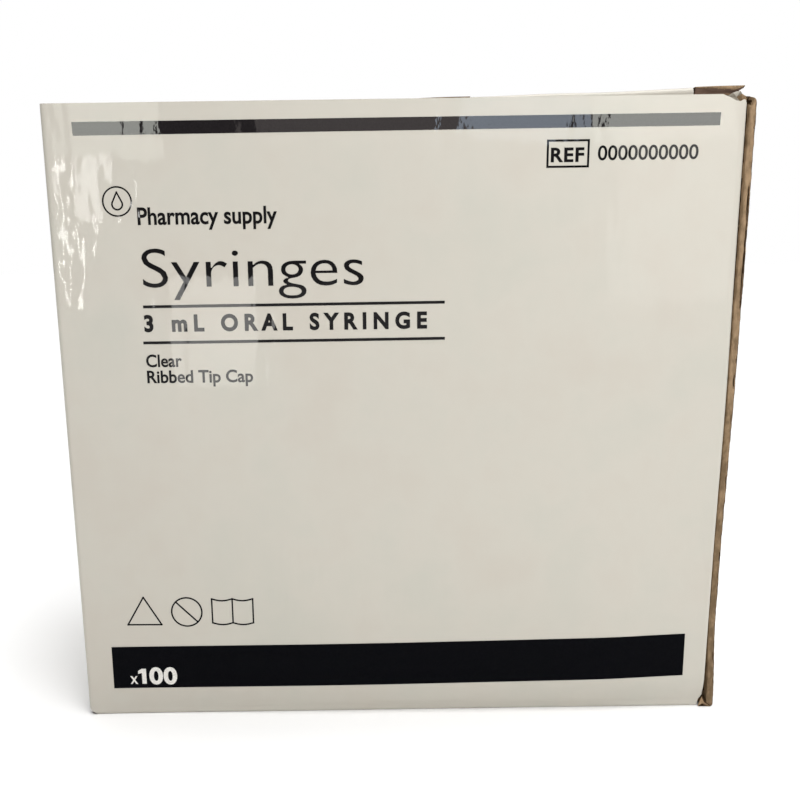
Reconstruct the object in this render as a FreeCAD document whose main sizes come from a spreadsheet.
import FreeCAD, Part
import math
import os
import Sketcher

# A closed shelf carton of one hundred 3 mL oral syringes. The carton is one folded blank of corrugated
# board: four walls, a glue tab, four bottom flaps, two dust flaps, and a lid with two tuck tabs. Ninety-nine
# syringes lie packed in two columns, and one lies on top of them with room to be drawn out and uncapped.
# Millimetres. +X is the carton's right, -Y its front, +Z up. The origin is the middle of its underside.

SIZES = {
    # carton
    "front_width": 200.0,
    "carton_depth": 88.0,
    "carton_height": 190.0,
    "board": 3.0,
    "fold_gap": 0.5,
    "seam_recess": 0.7,
    "glue_tab_width": 30.0,
    "minor_flap_reach": 44.0,
    "dust_flap_reach": 56.0,
    "dust_flap_front": 29.0,
    "dust_flap_back_taper": 26.0,
    "dust_flap_front_taper": 5.0,
    "stub_depth": 8.0,
    "stub_drop": 1.0,
    "tuck_tab_start": 15.3,
    "tuck_tab_width": 62.3,
    "tuck_tab_height": 19.0,
    "tuck_tab_corner": 5.0,
    "tuck_tab_lean": 9.0,
    "relief_width": 1.5,
    "relief_depth": 4.0,
    # syringe, measured from the back of its thumb rest
    "thumb_radius": 6.0,
    "thumb_thick": 2.0,
    "thumb_gap": 10.0,
    "flange_radius": 9.5,
    "flange_half_height": 5.75,
    "flange_thick": 2.0,
    "barrel_length": 66.0,
    "barrel_outer_radius": 5.15,
    "barrel_bore_radius": 4.33,
    "shoulder_thick": 1.3,
    "tip_length": 9.0,
    "tip_root_radius": 2.5,
    "tip_end_radius": 2.3,
    "tip_bore_radius": 1.0,
    "stopper_length": 8.0,
    "stopper_radius": 4.25,
    "stopper_waist_radius": 3.7,
    "stopper_rib": 1.6,
    "knob_radius": 2.2,
    "neck_radius": 1.4,
    "neck_length": 1.6,
    "knob_length": 3.0,
    "rib_half_width": 3.6,
    "rib_half_thick": 0.6,
    "rod_disc_radius": 4.0,
    "rod_disc_thick": 1.4,
    "cap_length": 14.0,
    "cap_radius": 3.4,
    "cap_start": 0.4,
    "cap_wall_end": 3.0,
    "cap_fit": 0.06,
    "cap_rim_radius": 3.9,
    "cap_rim_length": 1.6,
    "cap_rib_height": 0.45,
    "cap_rib_half_width": 0.45,
    "cap_rib_count": 10,
    # packing
    "rows_per_layer": 4,
    "slots": 4,
    "slot_pitch": 20.5,
    "row_pitch": 12.1,
    "wall_gap": 1.5,
    "stagger": 0.7,
    "loose_start": -34.0,
}

doc = FreeCAD.newDocument("OralSyringeCarton")
sheet = doc.addObject("Spreadsheet::Sheet", "Sizes")
for line, (alias, number) in enumerate(SIZES.items(), start=1):
    sheet.set("A%d" % line, alias)
    sheet.set("B%d" % line, str(number))
    sheet.setAlias("B%d" % line, alias)
doc.recompute()

subparts = []


class Length:
    """A length worked out from the sheet: its value, and the expression that ties it to the cells."""

    def __init__(self, value, text):
        self.value = value
        self.text = text

    def __add__(self, other):
        return Length(self.value + other.value, "%s + %s" % (self.text, other.text))

    def __sub__(self, other):
        return Length(self.value - other.value, "%s - (%s)" % (self.text, other.text))

    def __mul__(self, factor):
        return Length(self.value * factor, "%s * (%s)" % (factor, self.text))

    def __neg__(self):
        return self * -1.0


def cell(alias):
    return Length(float(sheet.get(alias)), "Sizes." + alias)


ZERO = Length(0.0, "0")
BOARD = cell("board")
GAP = cell("fold_gap")

LEFT_OUT = (cell("front_width") + BOARD) * -0.5
LEFT_IN = LEFT_OUT + BOARD
RIGHT_OUT = -LEFT_OUT
RIGHT_IN = RIGHT_OUT - BOARD
BACK_OUT = cell("carton_depth") * 0.5
BACK_IN = BACK_OUT - BOARD
FRONT_OUT = -BACK_OUT
FRONT_IN = -BACK_IN
TOP = cell("carton_height")
LID_UNDER = TOP - BOARD
DUST_UNDER = LID_UNDER - BOARD


# ---------------------------------------------------------------- drawing tools

def new_body(label):
    body = doc.addObject("PartDesign::Body", label)
    body.Label = label
    subparts.append(body)
    return body


def origin_feature(body, role):
    return next(item for item in body.Origin.OriginFeatures if item.Role == role)


def new_sketch(body, name, plane):
    sketch = body.newObject("Sketcher::SketchObject", body.Label + "_" + name)
    sketch.AttachmentSupport = [(origin_feature(body, plane), "")]
    sketch.MapMode = "FlatFace"
    return sketch


def tie(sketch, kind, constraint_target, length):
    """Holds a sketch measure at a length, and binds it to the sheet."""
    index = sketch.addConstraint(Sketcher.Constraint(kind, *constraint_target, length.value))
    sketch.setExpression("Constraints[%d]" % index, length.text)


def add_outline(sketch, corners):
    """Adds a closed outline with straight sides. Every corner is tied to the sketch's origin."""
    first = sketch.GeometryCount
    points = [FreeCAD.Vector(across.value, up.value, 0) for across, up in corners]
    for start, end in zip(points, points[1:] + points[:1]):
        sketch.addGeometry(Part.LineSegment(start, end))
    for number, (across, up) in enumerate(corners):
        side = first + number
        following = first + (number + 1) % len(corners)
        sketch.addConstraint(Sketcher.Constraint("Coincident", side, 2, following, 1))
        for kind, axis, length in (("DistanceX", -2, across), ("DistanceY", -1, up)):
            if length.value == 0:
                sketch.addConstraint(Sketcher.Constraint("PointOnObject", side, 1, axis))
            else:
                tie(sketch, kind, (-1, 1, side, 1), length)


def add_circle(sketch, radius):
    """Adds a circle about the sketch's origin."""
    circle = sketch.addGeometry(Part.Circle(FreeCAD.Vector(), FreeCAD.Vector(0, 0, 1), radius.value))
    sketch.addConstraint(Sketcher.Constraint("Coincident", circle, 3, -1, 1))
    tie(sketch, "Radius", (circle,), radius)


def add_oval(sketch, radius, half_height):
    """Adds a circle about the sketch's origin, cut flat above and below."""
    up = half_height.value
    across = math.sqrt(radius.value ** 2 - up ** 2)
    spread = math.atan2(up, across)
    circle = Part.Circle(FreeCAD.Vector(), FreeCAD.Vector(0, 0, 1), radius.value)
    top = sketch.addGeometry(Part.LineSegment(FreeCAD.Vector(across, up, 0), FreeCAD.Vector(-across, up, 0)))
    left = sketch.addGeometry(Part.ArcOfCircle(circle, math.pi - spread, math.pi + spread))
    bottom = sketch.addGeometry(Part.LineSegment(FreeCAD.Vector(-across, -up, 0), FreeCAD.Vector(across, -up, 0)))
    right = sketch.addGeometry(Part.ArcOfCircle(circle, -spread, spread))
    for start, end in ((top, left), (left, bottom), (bottom, right), (right, top)):
        sketch.addConstraint(Sketcher.Constraint("Coincident", start, 2, end, 1))
    for arc in (left, right):
        sketch.addConstraint(Sketcher.Constraint("Coincident", arc, 3, -1, 1))
    for flat, height in ((top, half_height), (bottom, -half_height)):
        sketch.addConstraint(Sketcher.Constraint("Horizontal", flat))
        tie(sketch, "DistanceY", (-1, 1, flat, 1), height)
    sketch.addConstraint(Sketcher.Constraint("Equal", left, right))
    tie(sketch, "Radius", (left,), radius)


def pad(body, sketch, name, length):
    feature = body.newObject("PartDesign::Pad", body.Label + "_" + name)
    feature.Profile = sketch
    feature.setExpression("Length", length.text)
    sketch.Visibility = False
    return feature


def revolve(body, name, *outlines):
    """Turns closed outlines, drawn as (along, radius) corners, about the body's X axis."""
    sketch = new_sketch(body, name + "_profile", "XY_Plane")
    for corners in outlines:
        add_outline(sketch, corners)
    feature = body.newObject("PartDesign::Revolution", body.Label + "_" + name)
    feature.Profile = sketch
    feature.ReferenceAxis = (sketch, ["H_Axis"])
    feature.Angle = 360.0
    sketch.Visibility = False
    return feature


def place(item, across, depth, up):
    for axis, length in zip("xyz", (across, depth, up)):
        item.setExpression("Placement.Base." + axis, length.text)


# ---------------------------------------------------------------- carton

def board_sheet(label, low, high):
    """A flat rectangle of board between its low and high corners."""
    panel = doc.addObject("Part::Box", label)
    panel.Label = label
    for side, start, end in zip(("Length", "Width", "Height"), low, high):
        panel.setExpression(side, (end - start).text)
    place(panel, *low)
    subparts.append(panel)


def walls():
    board_sheet("front_panel", (LEFT_OUT, FRONT_OUT, ZERO), (RIGHT_IN, FRONT_IN, TOP))
    board_sheet("back_panel", (LEFT_OUT, BACK_IN, ZERO), (RIGHT_OUT, BACK_OUT, LID_UNDER))
    # The glue tab turns in from the front panel's right edge, and is glued inside the right panel.
    tab_back = FRONT_IN + cell("glue_tab_width")
    board_sheet("glue_tab", (RIGHT_IN - BOARD, FRONT_IN, BOARD * 2.0), (RIGHT_IN, tab_back, DUST_UNDER - BOARD))


def side_panel(label, left_face, front_edge):
    """A side wall, with a stub in front of its dust flap that stands up to just under the front panel's top."""
    body = new_body(label)
    sketch = new_sketch(body, "outline", "YZ_Plane")
    stub_back = FRONT_IN + cell("stub_depth")
    stub_top = TOP - cell("stub_drop")
    add_outline(sketch, [
        (front_edge, ZERO), (BACK_IN, ZERO), (BACK_IN, DUST_UNDER),
        (stub_back, DUST_UNDER), (stub_back, stub_top), (front_edge, stub_top),
    ])
    pad(body, sketch, "wall", BOARD)
    place(body, left_face, ZERO, ZERO)


def bottom_flaps():
    """The front and back flaps meet under the carton. The two side flaps lie on them, inside."""
    left = LEFT_IN + GAP
    right = RIGHT_IN - GAP
    seam = GAP * 0.5
    board_sheet("bottom_flap_front", (left, FRONT_IN, ZERO), (right, -seam, BOARD))
    board_sheet("bottom_flap_back", (left, seam, ZERO), (right, BACK_IN, BOARD))
    front = FRONT_IN + GAP
    back = BACK_IN - GAP
    reach = cell("minor_flap_reach")
    board_sheet("bottom_flap_left", (LEFT_IN, front, BOARD), (LEFT_IN + reach, back, BOARD * 2.0))
    board_sheet("bottom_flap_right", (RIGHT_IN - reach, front, BOARD), (RIGHT_IN, back, BOARD * 2.0))


def dust_flap(label, hinge_edge, direction):
    """A tapered flap that folds in from the top of a side wall and lies under the lid."""
    body = new_body(label)
    sketch = new_sketch(body, "outline", "XY_Plane")
    reach = (cell("dust_flap_reach") + BOARD) * direction
    front = -cell("dust_flap_front")
    back = BACK_IN - GAP * 2.0
    add_outline(sketch, [
        (ZERO, front), (reach, front + cell("dust_flap_front_taper")),
        (reach, back - cell("dust_flap_back_taper")), (ZERO, back),
    ])
    pad(body, sketch, "flap", BOARD)
    place(body, hinge_edge, ZERO, DUST_UNDER)


LID_LEFT = LEFT_IN + GAP
LID_RIGHT = RIGHT_IN - GAP
LID_FRONT = FRONT_IN + GAP


def tab_edges():
    """The left and right edges of the two tuck tabs, which mirror each other."""
    start = LEFT_OUT + cell("tuck_tab_start")
    end = start + cell("tuck_tab_width")
    middle = BOARD * -0.5
    return (start, end), (middle * 2.0 - end, middle * 2.0 - start)


def lid_panel():
    """The lid, with relief slots beside each tuck tab. It hinges on the back panel's top edge."""
    body = new_body("lid_panel")
    sketch = new_sketch(body, "outline", "XY_Plane")
    slot_back = LID_FRONT + cell("relief_depth")
    front = [(LID_LEFT, LID_FRONT)]
    for start, end in tab_edges():
        for low, high in ((start - cell("relief_width"), start), (end, end + cell("relief_width"))):
            front += [(low, LID_FRONT), (low, slot_back), (high, slot_back), (high, LID_FRONT)]
    front.append((LID_RIGHT, LID_FRONT))
    add_outline(sketch, front + [(LID_RIGHT, BACK_OUT), (LID_LEFT, BACK_OUT)])
    pad(body, sketch, "panel", BOARD)
    place(body, ZERO, ZERO, LID_UNDER)


def tuck_tab(label, left_edge, right_edge):
    """A tab that turns down from the lid's front edge behind the front panel, leaning in."""
    body = new_body(label)
    sketch = new_sketch(body, "outline", "XZ_Plane")
    width = right_edge - left_edge
    corner = cell("tuck_tab_corner")
    height = cell("tuck_tab_height")
    add_outline(sketch, [
        (ZERO, ZERO), (width, ZERO), (width, corner - height),
        (width - corner, -height), (corner, -height), (ZERO, corner - height),
    ])
    pad(body, sketch, "tab", BOARD)
    lean = FreeCAD.Rotation(FreeCAD.Vector(1, 0, 0), SIZES["tuck_tab_lean"])
    body.Placement = FreeCAD.Placement(FreeCAD.Vector(), lean)
    place(body, left_edge, LID_FRONT + BOARD, LID_UNDER)


# ---------------------------------------------------------------- syringe

BARREL_BACK = cell("thumb_gap")
SHOULDER = BARREL_BACK + cell("barrel_length")
CHAMBER_END = SHOULDER - cell("shoulder_thick")
TIP_END = SHOULDER + cell("tip_length")
STOPPER_BACK = CHAMBER_END - cell("stopper_length")
NECK_END = STOPPER_BACK + cell("neck_length")
KNOB_END = NECK_END + cell("knob_length")
CAP_BACK = SHOULDER + cell("cap_start")
CAP_END = CAP_BACK + cell("cap_length")


def barrel(label):
    """A clear barrel with an oval finger flange and a tapered oral tip."""
    body = new_body(label)
    flange = new_sketch(body, "flange", "YZ_Plane")
    add_oval(flange, cell("flange_radius"), cell("flange_half_height"))
    add_circle(flange, cell("barrel_bore_radius"))
    flange.setExpression("AttachmentOffset.Base.z", BARREL_BACK.text)
    pad(body, flange, "finger_flange", cell("flange_thick"))
    bore = cell("barrel_bore_radius")
    outer = cell("barrel_outer_radius")
    tip_bore = cell("tip_bore_radius")
    revolve(body, "tube", [
        (BARREL_BACK, bore), (BARREL_BACK, outer), (SHOULDER, outer), (SHOULDER, cell("tip_root_radius")),
        (TIP_END, cell("tip_end_radius")), (TIP_END, tip_bore), (CHAMBER_END, tip_bore), (CHAMBER_END, bore),
    ])
    return body


def plunger_rod(label):
    """A rod of cross section with a thumb rest, a front disc, and a knob that holds the stopper."""
    body = new_body(label)
    wide = cell("rib_half_width")
    thin = cell("rib_half_thick")
    sketch = new_sketch(body, "cross", "YZ_Plane")
    add_outline(sketch, [
        (wide, thin), (thin, thin), (thin, wide), (-thin, wide), (-thin, thin), (-wide, thin),
        (-wide, -thin), (-thin, -thin), (-thin, -wide), (thin, -wide), (thin, -thin), (wide, -thin),
    ])
    thumb_front = cell("thumb_thick")
    disc_back = STOPPER_BACK - cell("rod_disc_thick")
    sketch.setExpression("AttachmentOffset.Base.z", thumb_front.text)
    pad(body, sketch, "ribs", disc_back - thumb_front)
    thumb = cell("thumb_radius")
    disc = cell("rod_disc_radius")
    neck = cell("neck_radius")
    knob = cell("knob_radius")
    revolve(body, "ends",
            [(ZERO, ZERO), (ZERO, thumb), (thumb_front, thumb), (thumb_front, ZERO)],
            [(disc_back, ZERO), (disc_back, disc), (STOPPER_BACK, disc), (STOPPER_BACK, neck),
             (NECK_END, neck), (NECK_END, knob), (KNOB_END, knob), (KNOB_END, ZERO)])
    return body


def stopper(label):
    """A rubber stopper with two sealing ribs, moulded round the rod's knob."""
    body = new_body(label)
    seal = cell("stopper_radius")
    waist = cell("stopper_waist_radius")
    rib = cell("stopper_rib")
    neck = cell("neck_radius")
    knob = cell("knob_radius")
    revolve(body, "rubber", [
        (STOPPER_BACK, neck), (STOPPER_BACK, seal), (STOPPER_BACK + rib, seal), (STOPPER_BACK + rib, waist),
        (CHAMBER_END - rib, waist), (CHAMBER_END - rib, seal), (CHAMBER_END, seal), (CHAMBER_END, ZERO),
        (KNOB_END, ZERO), (KNOB_END, knob), (NECK_END, knob), (NECK_END, neck),
    ])
    return body


def tip_cap(label):
    """A ribbed cap that slips over the tip, with a closed end and a rim at its mouth."""
    body = new_body(label)
    fit = cell("cap_fit")
    wall_start = CAP_END - cell("cap_wall_end")
    mouth = cell("tip_root_radius") + fit
    inner_end = cell("tip_end_radius") + fit
    outer = cell("cap_radius")
    rim = cell("cap_rim_radius")
    rim_end = CAP_BACK + cell("cap_rim_length")
    revolve(body, "shell", [
        (CAP_BACK, mouth), (CAP_BACK, rim), (rim_end, rim), (rim_end, outer), (CAP_END, outer),
        (CAP_END, ZERO), (wall_start, ZERO), (wall_start, inner_end), (TIP_END, inner_end),
    ])
    half_width = cell("cap_rib_half_width")
    rib_foot = outer - cell("cap_rib_height")
    rib_top = outer + cell("cap_rib_height")
    sketch = new_sketch(body, "rib_section", "YZ_Plane")
    add_outline(sketch, [
        (-half_width, rib_foot), (half_width, rib_foot), (half_width, rib_top), (-half_width, rib_top),
    ])
    sketch.setExpression("AttachmentOffset.Base.z", rim_end.text)
    rib = pad(body, sketch, "rib", CAP_END - rim_end - fit * 10.0)
    ribs = body.newObject("PartDesign::PolarPattern", label + "_ribs")
    ribs.Originals = [rib]
    ribs.Axis = (origin_feature(body, "X_Axis"), [""])
    ribs.Angle = 360.0
    ribs.setExpression("Occurrences", "Sizes.cap_rib_count")
    body.Tip = ribs
    return body


# ---------------------------------------------------------------- packing

SLOT_COUNT = int(SIZES["slots"])
LAYER_ROWS = int(SIZES["rows_per_layer"])
LAYERS = ("lower", "middle", "upper")
LOOSE_SLOT = 1


def slot_depth(slot):
    return (slot - (SLOT_COUNT - 1) / 2) * float(sheet.get("slot_pitch"))


def row_height(row):
    return 2 * BOARD.value + float(sheet.get("thumb_radius")) + row * float(sheet.get("row_pitch"))


def packed_place(side, row, slot):
    """Where one packed syringe lies. Both columns have their tips towards the middle of the carton."""
    shift = float(sheet.get("stagger")) * ((row + 2 * slot) % 3)
    gap = float(sheet.get("wall_gap")) + shift
    if side == "left":
        return FreeCAD.Placement(
            FreeCAD.Vector(LEFT_IN.value + gap, slot_depth(slot), row_height(row)), FreeCAD.Rotation())
    turned = FreeCAD.Rotation(FreeCAD.Vector(0, 0, 1), 180)
    start = RIGHT_IN.value - BOARD.value - gap
    return FreeCAD.Placement(FreeCAD.Vector(start, slot_depth(slot), row_height(row)), turned)


def packed_group(label, pattern, places):
    """Copies of one syringe piece, kept as separate solids in one node."""
    copies = []
    for target in places:
        solid = pattern.Shape.copy()
        solid.Placement = target
        copies.append(solid)
    group = doc.addObject("Part::Feature", label)
    group.Label = label
    group.Shape = Part.makeCompound(copies)
    group.Placement = FreeCAD.Placement()
    subparts.append(group)


def packed_syringes(pieces):
    """Three layers in two columns, and three more syringes on top, beside the loose one."""
    for number, layer in enumerate(LAYERS):
        rows = range(number * LAYER_ROWS, (number + 1) * LAYER_ROWS)
        for side in ("left", "right"):
            places = [packed_place(side, row, slot) for row in rows for slot in range(SLOT_COUNT)]
            for name, pattern in pieces.items():
                packed_group("%s_%s_%s" % (layer, side, name), pattern, places)
    top_row = len(LAYERS) * LAYER_ROWS
    places = [packed_place("left", top_row, 0), packed_place("right", top_row, 2),
              packed_place("left", top_row, 3)]
    for name, pattern in pieces.items():
        packed_group("top_" + name, pattern, places)


# ---------------------------------------------------------------- build

walls()
side_panel("left_panel", LEFT_OUT, FRONT_IN)
side_panel("right_panel", RIGHT_IN, FRONT_OUT + cell("seam_recess"))
bottom_flaps()
dust_flap("dust_flap_left", LEFT_OUT, 1.0)
dust_flap("dust_flap_right", RIGHT_OUT, -1.0)
lid_panel()
for tab_label, (tab_start, tab_end) in zip(("tuck_tab_left", "tuck_tab_right"), tab_edges()):
    tuck_tab(tab_label, tab_start, tab_end)

loose_pieces = {
    "barrels": barrel("syringe_barrel"),
    "plunger_rods": plunger_rod("syringe_plunger_rod"),
    "stoppers": stopper("syringe_stopper"),
    "tip_caps": tip_cap("syringe_tip_cap"),
}
doc.recompute()
packed_syringes(loose_pieces)
loose_row = len(LAYERS) * LAYER_ROWS
for piece in loose_pieces.values():
    piece.Placement = FreeCAD.Placement(
        FreeCAD.Vector(SIZES["loose_start"] - SIZES["thumb_gap"], slot_depth(LOOSE_SLOT), row_height(loose_row)),
        FreeCAD.Rotation())
doc.recompute()

for item in doc.Objects:
    if "Invalid" in item.State or "Error" in item.State:
        raise RuntimeError("%s failed: %s" % (item.Label, item.State))
for item in subparts:
    if item.Shape.isNull() or not item.Shape.isValid():
        raise RuntimeError("%s has no valid shape" % item.Label)

os.makedirs("parts", exist_ok=True)
for item in subparts:
    item.Shape.exportStep("parts/%s.step" % item.Label)
    print("%-28s %2d solids %10.1f mm3" % (item.Label, len(item.Shape.Solids), item.Shape.Volume))
